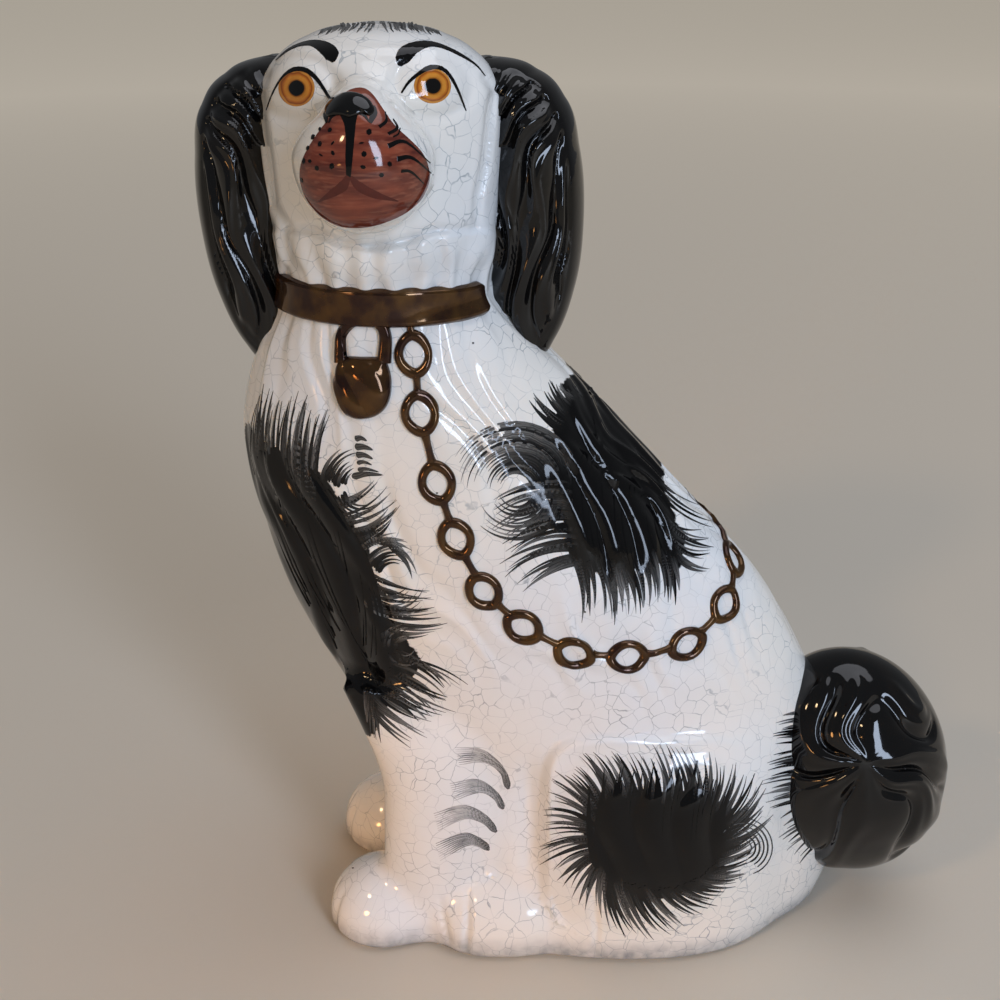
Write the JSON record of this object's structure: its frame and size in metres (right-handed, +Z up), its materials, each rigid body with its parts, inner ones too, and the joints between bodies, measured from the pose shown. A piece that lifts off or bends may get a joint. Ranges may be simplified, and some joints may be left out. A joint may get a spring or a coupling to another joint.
{
  "type": "seated spaniel figure",
  "caption": "Seated glazed earthenware spaniel with its head turned to the side, long hanging ears, a curled tail and a relief collar, padlock and chain. Stands on a flat foot.",
  "frame": {"origin": "on the table under the middle of the figure's outline", "axes": "+Z up, -X the way the body faces, -Y the way the head is turned"},
  "size_m": [0.2622, 0.108, 0.32],
  "materials": {
    "white_glaze": "clear crazed glaze over white earthenware",
    "black_glaze": "black enamel under clear glaze, glossy",
    "copper_lustre": "brown copper lustre, thin and glossy",
    "bare_biscuit": "unglazed biscuit, matt"
  },
  "bodies": {
    "root": {"body_near_shell": "white_glaze", "body_far_shell": "white_glaze", "head_face_shell": "white_glaze", "head_back_shell": "white_glaze", "near_foreleg": "white_glaze", "far_foreleg": "white_glaze", "near_hind_foot": "white_glaze", "far_hind_foot": "white_glaze", "right_ear": "black_glaze", "left_ear": "black_glaze", "tail": "black_glaze", "collar_strap": "copper_lustre", "padlock_body": "copper_lustre", "padlock_shackle": "copper_lustre", "chain_links": "copper_lustre", "chain_stems": "copper_lustre", "foot_slab": "bare_biscuit"}
  },
  "joints": []
}
